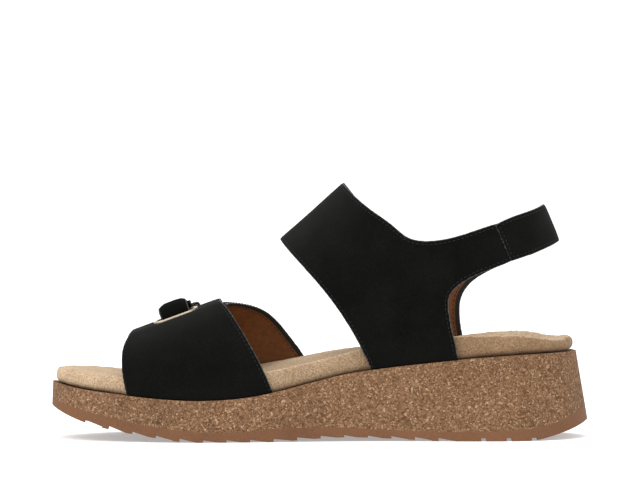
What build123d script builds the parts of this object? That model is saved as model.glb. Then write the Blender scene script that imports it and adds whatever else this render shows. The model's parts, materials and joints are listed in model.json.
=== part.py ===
from build123d import *
import math
import os

# Wedge sandal, right foot, millimetres.  Toe at -X, heel at +X, inner (medial) side at -Y,
# outer (lateral) side at +Y, ground at Z = 0.

# ---- driving dimensions: plan outline of the wedge at the height of the heel seat ----
PLAN_Z = 40.0
TOE_TIP = (-127.4, -9.0)
HEEL_TIP = (124.3, 1.0)
STATION_X = (-123, -112, -87, -60, -35, -10, 20, 50, 80, 106, 118)
MEDIAL_Y = (-23.5, -34.0, -43.4, -46.8, -44.6, -39.8, -35.0, -33.4, -33.4, -27.6, -17.4)
LATERAL_Y = (5.4, 18.2, 34.6, 43.6, 46.8, 45.6, 40.6, 37.0, 34.8, 28.8, 18.6)
FLARE_TOE = 0.04        # outward lean of the side wall, mm per mm of height
FLARE_HEEL = 0.17
FLARE_START_X = -20.0

# ---- side profile curves, as (x, z) ----
TREAD_TOE = ((-130.5, 17.6), (-114.3, 9.6), (-91.7, 4.3), (-75.0, 1.6))
TREAD_FLAT_FRONT = ((-58.0, 0.0), (-28.0, 0.0))
TREAD_SHANK = ((8.0, 1.9), (36.0, 1.2))
TREAD_FLAT_REAR = ((68.0, 0.0), (99.0, 0.0))
TREAD_HEEL = ((114.0, 2.6), (132.0, 10.2))
OUTSOLE_TOP = ((-134, 21.7), (-121.7, 17.3), (-97.2, 11.0), (-72.7, 6.5), (-42.2, 4.8), (-20, 6.4),
               (2.9, 6.8), (49.3, 4.9), (93.1, 5.1), (110.4, 7.4), (126.1, 14.2), (134, 19))
WEDGE_TOP = ((-134, 29.2), (-123.3, 26.4), (-101.3, 23.2), (-80.2, 21.0), (-57.1, 19.9), (-34.1, 21.4),
             (-16.3, 24.8), (10.1, 31.4), (38.9, 35.7), (72.5, 39.2), (101.3, 41.1), (134, 41.2))

# ---- footbed: (x, height at inner rim, centre, outer rim) ----
FOOTBED_TOP = ((-136, 36.0, 36.4, 36.2), (-124, 34.4, 34.6, 35.4), (-110, 32.8, 32.2, 34.0),
               (-90, 31.4, 29.6, 31.2), (-60, 30.2, 28.0, 29.8), (-30, 33.2, 29.8, 32.6),
               (-4, 39.6, 34.0, 38.0), (26, 48.6, 38.6, 42.8), (58, 53.0, 42.0, 46.5),
               (88, 51.6, 43.6, 50.0), (106, 51.4, 44.2, 50.6), (118, 51.2, 47.8, 50.8),
               (134, 51.0, 51.6, 51.0))
FOOTBED_STATIONS = (-1.3, -1.0, -0.55, 0.0, 0.55, 1.0, 1.3)   # across, 1 is the rim
FOOTBED_CUP = 2.4       # power of the curve from the centre up to the rim
FOOTBED_INSET = 4.0     # ledge on the wedge outside the footbed, taken by the straps
COVER_T = 1.2
FOAM_T = 2.0
CORE_BEDDING = 0.4      # the core's plug passes the top of the wedge by this much
BOARD_T = 2.0
RECESS_INSET = 15.0
RECESS_DEPTH = 4.0

# ---- leather thicknesses and build-up of the straps ----
FLUSH = 0.2             # straps stand this far inside the edge of the wedge
OUTER_T = 1.3
LINING_T = 0.9
BAND_T = OUTER_T + LINING_T
PADDING_T = 0.7
QUARTER_T = OUTER_T + PADDING_T + LINING_T
PATCH_T = 1.0
CLEAR = 0.3             # air between pieces that part from each other
OVERLAP_T = QUARTER_T + 2 * PATCH_T + CLEAR

# ---- forefoot band ----
TOE_RIDGE_Y = -6.0
TOE_RIDGE_X = -83.0
TOE_RIDGE_Z = 49.1      # inside of the outer panel at TOE_RIDGE_X
TOE_RIDGE_SLOPE = 0.367
TOE_BASE_Z = 19.0       # the arch springs from here
TOE_SECTIONS = (-125, -105, -85, -60, -35, -10, 15)
TOE_LIFT = 2.6          # rise of the inner panel over the outer panel at the ridge
TOE_SUPER = 2.5         # roundness of the arch (2 is an ellipse)
TOE_LAP = 10.0          # how far the inner panel passes the ridge
LATERAL_START = 1.5     # where the outer panel starts, from the ridge
INNER_PANEL_FRONT = ((-90.6, 10), (-93.9, 30), (-94.8, 38), (-93.2, 46.8), (-88.4, 52.6),
                     (-78.0, 64.6))
INNER_PANEL_REAR = ((-18.5, 10), (-24.8, 31), (-33.8, 48.4), (-41.4, 60.4), (-45.0, 64.6),
                    (-50.2, 67.8), (-62.0, 72.0))
OUTER_PANEL_FRONT = ((-86.0, 10), (-89.0, 30), (-89.6, 38), (-87.0, 48.0), (-78.0, 62.0))
OUTER_PANEL_REAR = ((-2.0, 10), (-5.0, 33), (-14.0, 46.0), (-25.0, 58.0), (-41.0, 63.6),
                    (-60.0, 65.2))

# ---- toe strap and its slot ----
SLOT_X = -68.7
SLOT_OFF = 7.6          # centre of the slot, inward of the ridge
SLOT_LONG = 22.6
SLOT_WIDE = 9.4
SLOT_BAR = 1.5
FRAME_T = 1.1
FRAME_SINK = 0.35       # the flange is pressed this far into the panel
NECK_BAR = 0.55         # thickness of the neck, share of the bar
BACK_CUT = 0.3          # the ring behind is this much smaller than the flange
BACK_GAP = 0.05         # between the lining and the ring behind
NECK_PAST = 0.5         # the neck passes the lining by this much
STRAP_W = 14.4
STRAP_OUTER_T = 1.2
STRAP_LINING_T = 0.8
STRAP_T = STRAP_OUTER_T + STRAP_LINING_T
FOLD_RISE = 6.0         # height of the fold above the panel
STRAP_BEND = 1.6        # outer radius where the strap turns up through the slot
STRAP_TUCK = 14.0       # the strap runs this far from the slot, under the outer panel
FOLD_SPRING = 0.8       # the fold starts this far above the panel
FOLD_IN = 1.0           # the strap comes up here, from the centre of the slot
FOLD_TOP = 4.6          # and folds back here
FLAP_LOW = 5.2          # underside of the folded strap above the inside of the outer panel
FLAP_JOIN = 0.6         # the curved part of the flap starts here, from the ridge
STRAP_DEEPER = 0.2      # the strap lies this much below the inside of the outer panel
STRAP_LEAN = 0.16       # the folded strap runs this much backwards
STRAP_END_Y = 27.0
TOE_HOOK_Y = (6.0, 24.0)
TOE_LOOP_Y = (4.6, 25.0)
TOE_HOOK_W = 11.0
TOE_LOOP_W = 13.0

# ---- instep and heel: horizontal sections, as (z, x of 3 stations, heel x,
# inner half-widths, outer half-widths at the stations) ----
INSTEP_RIDGE_X = -14.2  # inside of the upper at INSTEP_RIDGE_Z
INSTEP_RIDGE_Z = 93.7
INSTEP_SLOPE = 0.9
INSTEP_RIDGE_Y = -3.0
RIDGE_SPREAD = 1.5      # horizontal shift of the ridge per mm of thickness
ANKLE = ((12, (0, 46, 80), 121.0, (36.0, 31.0, 30.6), (41.5, 35.2, 31.8)),
         (40, (6, 46, 80), 121.0, (34.0, 30.5, 30.4), (40.0, 34.2, 31.8)),
         (62, (-3, 42, 82), 120.4, (31.2, 31.6, 30.0), (36.2, 34.8, 31.8)),
         (84, (2, 46, 84), 116.6, (26.6, 30.6, 28.4), (30.8, 33.8, 30.6)),
         (104, (20, 52, 84), 109.6, (24.6, 29.4, 27.0), (28.6, 32.6, 29.4)),
         (128, (44, 66, 84), 99.0, (23.4, 27.6, 24.0), (27.4, 30.4, 26.4)))
LATERAL_INSET = (0.0, 0.0, OVERLAP_T, OVERLAP_T, OVERLAP_T, OVERLAP_T)
HEEL_Y = 1.0

# ---- side profiles of the quarters and straps, as (x, z) ----
QUARTER_FRONT = ((27.5, 28.0), (21.5, 42.0), (12.5, 58.1), (-2.3, 77.4), (-18.0, 94.0),
                 (-25.0, 102.4))
QUARTER_PEAK = (5.0, 128.0)
QUARTER_TOPLINE = ((13.2, 120.6), (25.3, 110.6), (36.2, 102.8), (43.0, 97.6), (52.3, 96.0),
                   (66.5, 98.3), (86.2, 104.4))
QUARTER_LOW = ((94.0, 86.7), (82.8, 82.2), (68.1, 75.3), (63.1, 70.0), (62.8, 61.1),
               (66.6, 42.0), (69.4, 28.0))
OUTER_QUARTER_FRONT = ((33.0, 23.0), (27.0, 37.0), (18.0, 53.1), (3.2, 72.4), (-12.5, 89.0),
                       (-19.5, 97.4))
OUTER_QUARTER_PEAK = (8.0, 119.5)
OUTER_QUARTER_TOPLINE = ((14.0, 113.8), (25.3, 104.4), (35.5, 97.6), (44.5, 92.2), (54.0, 90.4),
                         (70.0, 92.4), (91.7, 99.6))
OUTER_QUARTER_LOW = ((99.5, 86.4), (88.3, 81.0), (78.9, 76.2), (73.2, 71.8), (69.2, 65.3),
                     (68.4, 57.0), (71.4, 40.0), (74.6, 24.0))
OUTER_QUARTER_Y = 7.0   # the outer quarter starts here, under the folded strap
STRAP_DIR = (0.588, -0.809)
FLAP_FRONT = (-18.0, 94.0)
FLAP_REAR = (12.6, 121.6)
FLAP_LENGTH = 42.0
FLAP_START = -12.0      # start of the profile, before the ridge
FLAP_STRAIGHT = 8.0     # full width up to here
FLAP_TAPER = 6.0        # each side comes in by this much at the end
FLAP_ROUND = 7.0
FLAP_FOLD_Y = 3.0       # fold line of the instep flap
INSTEP_LOOP = (17.0, 39.0, 7.0)     # from, to and side margin along the instep flap
INSTEP_HOOK = (22.0, 38.0, 8.0)
HEEL_TOP = ((86.5, 104.5), (91.1, 106.6), (97.4, 108.6), (104.6, 110.8), (124.0, 117.2))
HEEL_LOW = ((94.3, 86.8), (102.2, 88.9), (112.2, 92.7), (126.0, 98.7))
HEEL_TAIL = ((86.2, 103.0), (74.0, 99.0), (68.6, 95.0), (67.2, 88.8), (70.4, 83.0),
             (76.0, 81.4), (86.0, 83.8))
HEEL_SINK = 0.13        # fall of the strap towards the outer side, mm per mm
HEEL_HOOK = ((72.5, 80.5), (72.5, 90.5), (90.0, 97.0), (90.0, 85.5))
HEEL_LOOP = ((70.5, 79.0), (70.5, 91.5), (92.0, 98.0), (92.0, 84.5))
HEEL_PATCH_Y = 10.0     # both patches lie beyond this

# ---- tread ----
TOOTH_PITCH = 11.3
TOOTH_DEPTH = 1.2
TOOTH_FIRST_X = -112.0
TOOTH_COUNT = 16
TOOTH_RAMP = 0.72       # length of the ramp, share of the pitch
LANE_EDGE = 20.0
HEEL_GROOVES = (79.2, 91.4, 103.5)
HEEL_GROOVE_W = 2.4
HEEL_GROOVE_H = 1.5

# ---- shank ----
SHANK = ((-20.0, 13.0), (68.0, 27.0))
SHANK_W = 15.0
SHANK_T = 1.4

WIDE = 90.0             # larger than any half-width of the sandal
HIGH = 150.0
SHIFT_X = -0.63         # moves the finished model so that its box is centred on the origin
SHIFT_Y = -0.04


# ---------------------------------------------------------------- helpers
def in_xz(points, y=0.0):
    """(x, z) pairs as points of a vertical plane."""
    return [Vector(x, y, z) for x, z in points]


def side_block(edges, y_from, y_to):
    """Closed side profile drawn at Y = 0, as a solid from y_from to y_to."""
    face = make_face(edges)
    return extrude(Pos(0, y_from, 0) * face, amount=y_to - y_from, dir=(0, 1, 0))


def polygon_block(points, y_from=-WIDE, y_to=WIDE):
    return side_block(Polyline(*in_xz(points), close=True).edges(), y_from, y_to)


def between(lower, upper):
    """Solid between two side profile curves that start and end at the same X."""
    low = Spline(*in_xz(lower))
    high = Spline(*in_xz(upper))
    ends = [Line(low @ 0, high @ 0), Line(low @ 1, high @ 1)]
    return side_block([low, high] + ends, -WIDE, WIDE)


def raised(points, dz):
    return tuple((x, z + dz) for x, z in points)


def above(points):
    """Everything above a side profile curve."""
    return between(points, tuple((x, HIGH) for x, z in points))


def flare(x):
    """Outward lean of the side wall at x."""
    share = max(0.0, (x - FLARE_START_X) / (HEEL_TIP[0] - FLARE_START_X))
    return FLARE_TOE + (FLARE_HEEL - FLARE_TOE) * share


def outline(height=PLAN_Z, inset=0.0):
    """Closed plan outline at a height, moved inwards by inset."""
    inner = [(x, y) for x, y in zip(STATION_X, MEDIAL_Y)]
    outer = [(x, y) for x, y in zip(STATION_X, LATERAL_Y)]
    ring = [TOE_TIP] + inner + [HEEL_TIP] + outer[::-1]
    moved = []
    for i, (x, y) in enumerate(ring):
        before = Vector(*ring[i - 1])
        after = Vector(*ring[(i + 1) % len(ring)])
        along = (after - before).normalized()
        out = Vector(along.Y, -along.X)
        grow = flare(x) * (PLAN_Z - height) - inset
        moved.append(Vector(x, y, height) + out * grow)
    return Spline(*moved, periodic=True)


def sole_block():
    """Leaning side walls of outsole and wedge, over the full height."""
    sections = [make_face(outline(height)) for height in (-5.0, HIGH / 2)]
    return loft(sections, ruled=True)


def upright(inset):
    """Vertical block inside the plan outline."""
    return Pos(0, 0, -PLAN_Z) * extrude(make_face(outline(PLAN_Z, inset)), amount=HIGH)


# ---------------------------------------------------------------- sole
def tread_profile():
    toe = Spline(*in_xz(TREAD_TOE + TREAD_FLAT_FRONT[:1]), tangents=((1, 0, -0.7), (1, 0, 0)))
    front = Line(*in_xz(TREAD_FLAT_FRONT))
    shank = Spline(*in_xz(TREAD_FLAT_FRONT[1:] + TREAD_SHANK + TREAD_FLAT_REAR[:1]),
                   tangents=((1, 0, 0), (1, 0, 0)))
    rear = Line(*in_xz(TREAD_FLAT_REAR))
    heel = Spline(*in_xz(TREAD_FLAT_REAR[1:] + TREAD_HEEL), tangents=((1, 0, 0), (1, 0, 0.7)))
    return [toe, front, shank, rear, heel]


def make_outsole(block):
    tread = tread_profile()
    low_start = tread[0] @ 0
    low_end = tread[-1] @ 1
    roof = [Line(low_start, Vector(low_start.X, 0, HIGH)),
            Line(Vector(low_start.X, 0, HIGH), Vector(low_end.X, 0, HIGH)),
            Line(Vector(low_end.X, 0, HIGH), low_end)]
    sole = block & side_block(tread + roof, -WIDE, WIDE)
    sole = sole - above(OUTSOLE_TOP)
    lanes = ((-WIDE, -LANE_EDGE, 0.0), (-LANE_EDGE, LANE_EDGE, 0.5), (LANE_EDGE, WIDE, 0.0))
    for i in range(TOOTH_COUNT):
        for y_from, y_to, lead in lanes:
            x = TOOTH_FIRST_X + (i + lead) * TOOTH_PITCH
            sole = sole - tooth_gap(x, y_from, y_to)
    for x in HEEL_GROOVES:
        half = HEEL_GROOVE_W / 2
        points = ((x - half, -1), (x - half, HEEL_GROOVE_H), (x + half, HEEL_GROOVE_H),
                  (x + half, -1))
        sole = sole - polygon_block(points)
    return sole


def tooth_gap(x, y_from, y_to):
    """Wedge-shaped gap of the saw-tooth tread: steep front wall, long ramp behind it."""
    z = underside(x)
    x_end = x + TOOTH_PITCH * TOOTH_RAMP
    z_end = underside(x_end)
    points = ((x, z - 3), (x, z + TOOTH_DEPTH), (x_end, z_end), (x_end, z_end - 3))
    return polygon_block(points, y_from, y_to)


def underside(x):
    """Straight-line estimate of the underside between the driving points."""
    line = TREAD_TOE + TREAD_FLAT_FRONT + TREAD_SHANK + TREAD_FLAT_REAR + TREAD_HEEL
    for (xa, za), (xb, zb) in zip(line, line[1:]):
        if xa <= x <= xb:
            return za + (zb - za) * (x - xa) / (xb - xa)
    return 0.0


def make_shank():
    start, end = in_xz(SHANK, -SHANK_W / 2)
    along = (end - start).normalized()
    plane = Plane(origin=(start + end) / 2 + Vector(0, SHANK_W / 2, 0), x_dir=along,
                  z_dir=along.cross(Vector(0, 1, 0)))
    strip = Box((end - start).length, SHANK_W, SHANK_T)
    strip = fillet(strip.edges().filter_by(Axis.Z), radius=SHANK_W / 3)
    return plane * strip


def make_wedge(block, shank):
    wedge = (block - below_outsole_top()) - above(WEDGE_TOP)
    recess = upright(RECESS_INSET) & above(raised(WEDGE_TOP, -RECESS_DEPTH))
    return wedge - recess - shank


def below_outsole_top():
    return between(tuple((x, -20.0) for x, z in OUTSOLE_TOP), OUTSOLE_TOP)


def make_board():
    floor = raised(WEDGE_TOP, -RECESS_DEPTH)
    return upright(RECESS_INSET) & between(floor, raised(floor, BOARD_T))


def footbed_cutter(sink):
    """Solid above the hollowed foot surface, lowered by sink."""
    sections = []
    for x, z_inner, z_mid, z_outer in FOOTBED_TOP:
        inner_y, outer_y = rim_y(x)
        points = []
        for share in FOOTBED_STATIONS:
            y = -share * inner_y if share < 0 else share * outer_y
            rim = z_inner if share < 0 else z_outer
            rise = (rim - z_mid) * abs(share) ** FOOTBED_CUP
            points.append(Vector(x, y, z_mid + rise - sink))
        surface = Spline(*points)
        roof_a = Vector(x, points[0].Y, HIGH)
        roof_b = Vector(x, points[-1].Y, HIGH)
        sides = [Line(points[0], roof_a), Line(roof_a, roof_b), Line(roof_b, points[-1])]
        sections.append(make_face([surface] + sides))
    return loft(sections)


def rim_y(x):
    """Half-widths of the plan at x, held constant near the rounded ends."""
    x = min(max(x, STATION_X[1]), STATION_X[-2])
    for i in range(len(STATION_X) - 1):
        if STATION_X[i] <= x <= STATION_X[i + 1]:
            share = (x - STATION_X[i]) / (STATION_X[i + 1] - STATION_X[i])
            inner = MEDIAL_Y[i] + (MEDIAL_Y[i + 1] - MEDIAL_Y[i]) * share
            outer = LATERAL_Y[i] + (LATERAL_Y[i + 1] - LATERAL_Y[i]) * share
            return inner, outer
    return MEDIAL_Y[-1], LATERAL_Y[-1]


def make_footbed():
    """Core, foam and cover, nested inside each other."""
    full = upright(FOOTBED_INSET) & above(WEDGE_TOP)
    full = full - footbed_cutter(0.0)
    inside = (upright(FOOTBED_INSET + COVER_T) & above(WEDGE_TOP)) - footbed_cutter(COVER_T)
    cover = full - inside
    foam_cutter = footbed_cutter(COVER_T + FOAM_T)
    foam = inside & foam_cutter
    plug = upright(RECESS_INSET) & between(raised(WEDGE_TOP, BOARD_T - RECESS_DEPTH),
                                           raised(WEDGE_TOP, CORE_BEDDING))
    core = (inside + plug) - foam_cutter
    return core, foam, cover


# ---------------------------------------------------------------- forefoot band
def toe_ridge(x):
    return TOE_RIDGE_Z + TOE_RIDGE_SLOPE * (x - TOE_RIDGE_X)


def toe_form(offset, lift=0.0):
    """Arched form of the forefoot, grown by offset."""
    sections = []
    for x in TOE_SECTIONS:
        inner_y, outer_y = rim_y(x)
        inner_w = -inner_y + TOE_RIDGE_Y - FLUSH - BAND_T + offset
        outer_w = outer_y - TOE_RIDGE_Y - FLUSH - BAND_T + offset
        height = toe_ridge(x) + lift + offset - TOE_BASE_Z
        inner = arch_edge(x, -inner_w, height, TOE_SUPER)
        outer = arch_edge(x, outer_w, height, TOE_SUPER)
        sections.append(make_face([inner, outer, Line(inner @ 0, outer @ 0)]))
    return loft(sections)


def arch_edge(x, width, height, power):
    """Quarter of a superellipse from the base up to the ridge."""
    points = []
    for step in range(5):
        angle = math.radians(22.5 * step)
        across = width * math.cos(angle) ** (2 / power) if step < 4 else 0.0
        up = height * math.sin(angle) ** (2 / power)
        points.append(Vector(x, TOE_RIDGE_Y + across, TOE_BASE_Z + up))
    inward = -1 if width > 0 else 1
    return Spline(*points, tangents=((0, 0, 1), (0, inward, 0)))


def panel_area(front_points, rear_points, y_from, y_to):
    front = Spline(*in_xz(front_points))
    rear = Spline(*in_xz(rear_points))
    ends = [Line(front @ 1, rear @ 1), Line(front @ 0, rear @ 0)]
    return side_block([front, rear] + ends, y_from, y_to)


def layers(area, form, thicknesses):
    """Sheets cut from the grown form, from the outside inwards."""
    total = sum(thicknesses)
    body = form(total) & area
    sheets = []
    for thickness in thicknesses:
        total = total - thickness
        inner = form(total)
        sheets.append(body - inner)
        body = body & inner
    return sheets


def make_toe_panels():
    floor = above(WEDGE_TOP)
    inner = panel_area(INNER_PANEL_FRONT, INNER_PANEL_REAR, -WIDE, TOE_RIDGE_Y + TOE_LAP)
    outer = panel_area(OUTER_PANEL_FRONT, OUTER_PANEL_REAR, TOE_RIDGE_Y + LATERAL_START, WIDE)
    outer_m, lining_m = layers(inner & floor, lambda t: toe_form(t, TOE_LIFT),
                               (OUTER_T, LINING_T))
    outer_l, lining_l = layers(outer & floor, toe_form, (OUTER_T, LINING_T))
    return outer_m, lining_m, outer_l, lining_l


def slot_plane():
    """Plane of the slot frame: X along the ridge, Z out of the panel."""
    height = toe_ridge(SLOT_X) + TOE_LIFT + BAND_T - TOE_BASE_Z
    width = TOE_RIDGE_Y - rim_y(SLOT_X)[0] - FLUSH
    share = SLOT_OFF / width
    z = TOE_BASE_Z + height * (1 - share ** TOE_SUPER / TOE_SUPER)
    slope = height / width * share ** (TOE_SUPER - 1)
    along = Vector(1, 0, TOE_RIDGE_SLOPE).normalized()
    across = Vector(0, 1, slope).normalized()
    return Plane(origin=(SLOT_X, TOE_RIDGE_Y - SLOT_OFF, z), x_dir=along,
                 z_dir=along.cross(across))


def slot_ring(outer_grow, inner_grow, low, high):
    plane = slot_plane()
    ring = SlotOverall(SLOT_LONG + 2 * outer_grow, SLOT_WIDE + 2 * outer_grow)
    hole = SlotOverall(SLOT_LONG - 2 * SLOT_BAR + 2 * inner_grow,
                       SLOT_WIDE - 2 * SLOT_BAR + 2 * inner_grow)
    return plane * (Pos(0, 0, low) * extrude(ring - hole, amount=high - low))


def slot_tool(depth):
    """The hole through the frame, reaching a depth above and below the panel."""
    hole = SlotOverall(SLOT_LONG - 2 * SLOT_BAR, SLOT_WIDE - 2 * SLOT_BAR)
    return slot_plane() * (Pos(0, 0, -depth) * extrude(hole, amount=2 * depth))


def make_slot_frame():
    """Flange on the panel with a short neck through it, and the ring behind."""
    end = -BAND_T - NECK_PAST
    flange = slot_ring(0, 0, -FRAME_SINK, FRAME_T - FRAME_SINK)
    neck = slot_ring(-SLOT_BAR * (1 - NECK_BAR), 0, end, -FRAME_SINK)
    back = slot_ring(-BACK_CUT, SLOT_BAR * NECK_BAR, end, -BAND_T - BACK_GAP)
    return flange + neck, back


# ---------------------------------------------------------------- toe strap
def strap_block(points_edges, width):
    """Profile drawn across the strap in the slot plane, as a solid of the strap's width."""
    face = make_face(points_edges)
    return slot_plane() * (Pos(-width / 2, 0, 0) * extrude(face, amount=width, dir=(1, 0, 0)))


def at(y, z):
    return Vector(0, y, z)


def make_strap_base():
    """From the edge of the outer panel, under the inner panel, up and round to the fold."""
    deep = -(BAND_T + TOE_LIFT) - STRAP_DEEPER
    inner_y = FOLD_IN + STRAP_T
    bend = STRAP_BEND
    bend_low = bend * (1 - math.sqrt(0.5))
    small = CLEAR
    arch_rise = FOLD_RISE - STRAP_T
    low = [Line(at(STRAP_TUCK, deep), at(FOLD_IN + bend, deep)),
           ThreePointArc(at(FOLD_IN + bend, deep), at(FOLD_IN + bend_low, deep + bend_low),
                         at(FOLD_IN, deep + bend)),
           Line(at(FOLD_IN, deep + bend), at(FOLD_IN, FOLD_SPRING)),
           ThreePointArc(at(FOLD_IN, FOLD_SPRING), at(FOLD_IN + STRAP_T * 0.45, arch_rise),
                         at(FOLD_TOP, FOLD_RISE))]
    top_in = at(FOLD_TOP, arch_rise)
    side_in = at(inner_y, FOLD_SPRING)
    foot_in = at(inner_y, deep + STRAP_T + small)
    turn_in = at(inner_y + small, deep + STRAP_T)
    end_in = at(STRAP_TUCK, deep + STRAP_T)
    mid_in = at((inner_y + FOLD_TOP) / 2 - small, (arch_rise + FOLD_SPRING) / 2 + small / 2)
    high = [Line(at(FOLD_TOP, FOLD_RISE), top_in), ThreePointArc(top_in, mid_in, side_in),
            Line(side_in, foot_in), Line(foot_in, turn_in), Line(turn_in, end_in),
            Line(end_in, at(STRAP_TUCK, deep))]
    base = strap_block(low + high, STRAP_W)
    beyond = Pos(0, TOE_RIDGE_Y + LATERAL_START + WIDE / 2, HIGH / 2) * Box(
        2 * HIGH, WIDE, HIGH)
    return base - beyond


def fold_point(z):
    """A point of the fold where the flap begins, z above the panel."""
    return slot_plane().from_local_coords((0, FOLD_TOP + CLEAR, z))


def flap_ramp(low, high):
    """Start of the folded strap, from the fold down to the ridge, between two heights."""
    ridge = toe_ridge(SLOT_X)
    fold_low = fold_point(FOLD_RISE - STRAP_T + low)
    fold_high = fold_point(FOLD_RISE - STRAP_T + high)
    end_y = TOE_RIDGE_Y + 2 * FLAP_JOIN
    base = ridge + FLAP_LOW
    corners = ((fold_low.Y, fold_low.Z), (end_y, base + low), (end_y, base + high),
               (fold_high.Y, fold_high.Z))
    face = make_face(Polyline(*[Vector(SLOT_X, y, z) for y, z in corners], close=True))
    reach = STRAP_W
    run = Vector(1, 0, TOE_RIDGE_SLOPE)
    block = extrude(Pos(run * -reach) * face, amount=2 * reach, dir=tuple(run))
    return block & strap_plan(fold_low.Y - STRAP_T, end_y + STRAP_T, STRAP_W, False)


def strap_plan(y_from, y_to, width, round_end):
    """Plan of the folded strap between two Y, running towards the outer side."""
    half = width / 2
    fold_y = fold_point(FOLD_RISE).Y

    def point(y, side):
        return Vector(SLOT_X + STRAP_LEAN * (y - fold_y) + side * half, y)

    if round_end:
        tip = point(y_to, 0)
        corner_a = point(y_to - half, 1)
        corner_b = point(y_to - half, -1)
        end = ThreePointArc(corner_a, tip, corner_b)
    else:
        corner_a = point(y_to, 1)
        corner_b = point(y_to, -1)
        end = Line(corner_a, corner_b)
    start_a = point(y_from, 1)
    start_b = point(y_from, -1)
    edges = [Line(start_a, corner_a), end, Line(corner_b, start_b), Line(start_b, start_a)]
    return extrude(make_face(edges), amount=HIGH)


def make_toe_flap():
    area = strap_plan(TOE_RIDGE_Y + FLAP_JOIN, STRAP_END_Y, STRAP_W, True)
    outer, lining = layers(area, lambda t: toe_form(FLAP_LOW + t),
                           (STRAP_OUTER_T, STRAP_LINING_T))
    outer = outer + flap_ramp(STRAP_LINING_T, STRAP_T)
    lining = (lining + flap_ramp(0.0, STRAP_LINING_T)) - outer
    return outer, lining


def make_toe_patches():
    hook_area = strap_plan(*TOE_HOOK_Y, TOE_HOOK_W, False)
    loop_area = strap_plan(*TOE_LOOP_Y, TOE_LOOP_W, False)
    loop = (toe_form(BAND_T + PATCH_T) & loop_area) - toe_form(BAND_T)
    hook = (toe_form(FLAP_LOW) & hook_area) - toe_form(BAND_T + PATCH_T + CLEAR)
    return hook, loop


# ---------------------------------------------------------------- quarters
def ankle_form(offset, inset=False):
    """Form of the instep, ankle and heel, grown by offset; inset makes room on the outer side."""
    sections = []
    for (z, stations, heel_x, inner, outer), less in zip(ANKLE, LATERAL_INSET):
        less = less if inset else 0.0
        ridge_x = INSTEP_RIDGE_X + (z - INSTEP_RIDGE_Z) / INSTEP_SLOPE
        ridge_x = ridge_x - RIDGE_SPREAD * (offset - less)
        points = [Vector(ridge_x, INSTEP_RIDGE_Y, z)]
        points += [Vector(x, -w - offset, z) for x, w in zip(stations, inner)]
        points += [Vector(heel_x + offset - less, HEEL_Y, z)]
        points += [Vector(x, w + offset - less, z) for x, w in zip(stations, outer)][::-1]
        sections.append(make_face(Spline(*points, periodic=True)))
    return loft(sections)


def quarter_area(front_points, peak_point, top_points, low_points, y_from, y_to):
    front = Spline(*in_xz(front_points))
    top = Spline(*in_xz(top_points))
    low = Spline(*in_xz(low_points))
    peak = in_xz((peak_point,))[0]
    edges = [front, Line(front @ 1, peak), Line(peak, top @ 0), top, Line(top @ 1, low @ 0), low,
             Line(low @ 1, front @ 0)]
    return side_block(edges, y_from, y_to) & above(WEDGE_TOP)


def make_medial_quarter():
    area = quarter_area(QUARTER_FRONT, QUARTER_PEAK, QUARTER_TOPLINE, QUARTER_LOW,
                        -WIDE, FLAP_FOLD_Y - CLEAR / 2)
    return layers(area, ankle_form, (OUTER_T, PADDING_T, LINING_T))


def make_lateral_quarter():
    area = quarter_area(OUTER_QUARTER_FRONT, OUTER_QUARTER_PEAK, OUTER_QUARTER_TOPLINE,
                        OUTER_QUARTER_LOW, OUTER_QUARTER_Y, WIDE)
    return layers(area, lambda t: ankle_form(t, True), (OUTER_T, PADDING_T, LINING_T))


def along_strap(corner, distance):
    return (corner[0] + STRAP_DIR[0] * distance, corner[1] + STRAP_DIR[1] * distance)


def flap_area(start, end, trim, y_from, rounded):
    """Tapered strap over the instep, between two distances from the ridge."""
    cross = (Vector(*FLAP_REAR) - Vector(*FLAP_FRONT)).normalized()

    def corners(distance):
        taper = FLAP_TAPER * max(0.0, distance - FLAP_STRAIGHT) / (FLAP_LENGTH - FLAP_STRAIGHT)
        side = cross * (trim + taper)
        front = (FLAP_FRONT[0] + side.X, FLAP_FRONT[1] + side.Y)
        rear = (FLAP_REAR[0] - side.X, FLAP_REAR[1] - side.Y)
        return along_strap(front, distance), along_strap(rear, distance)

    distances = [start, end]
    if start < FLAP_STRAIGHT:
        distances.insert(1, FLAP_STRAIGHT)
    pairs = [corners(distance) for distance in distances]
    ring = [front for front, rear in pairs] + [rear for front, rear in reversed(pairs)]
    face = make_face(Polyline(*in_xz(ring), close=True))
    if rounded:
        tips = [Vector(x, 0, z) for x, z in pairs[-1]]
        ends = [v for v in face.vertices() if min((Vector(v) - tip).length for tip in tips) < CLEAR]
        face = fillet(ends, radius=FLAP_ROUND)
    return extrude(Pos(0, y_from, 0) * face, amount=WIDE, dir=(0, 1, 0))


def make_instep_flap():
    area = flap_area(FLAP_START, FLAP_LENGTH, 0.0, FLAP_FOLD_Y + CLEAR / 2, True)
    return layers(area, ankle_form, (OUTER_T + PADDING_T, LINING_T))


def patch_pair(hook_area, loop_area):
    """Hook patch under the lining of a strap, loop patch on the outer quarter."""
    loop = (ankle_form(QUARTER_T + PATCH_T, True) & loop_area) - ankle_form(QUARTER_T, True)
    hook = (ankle_form(0.0) & hook_area) - ankle_form(-PATCH_T)
    return hook, loop


def make_instep_patches():
    return patch_pair(flap_area(*INSTEP_HOOK, 0.0, False), flap_area(*INSTEP_LOOP, 0.0, False))


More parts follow.
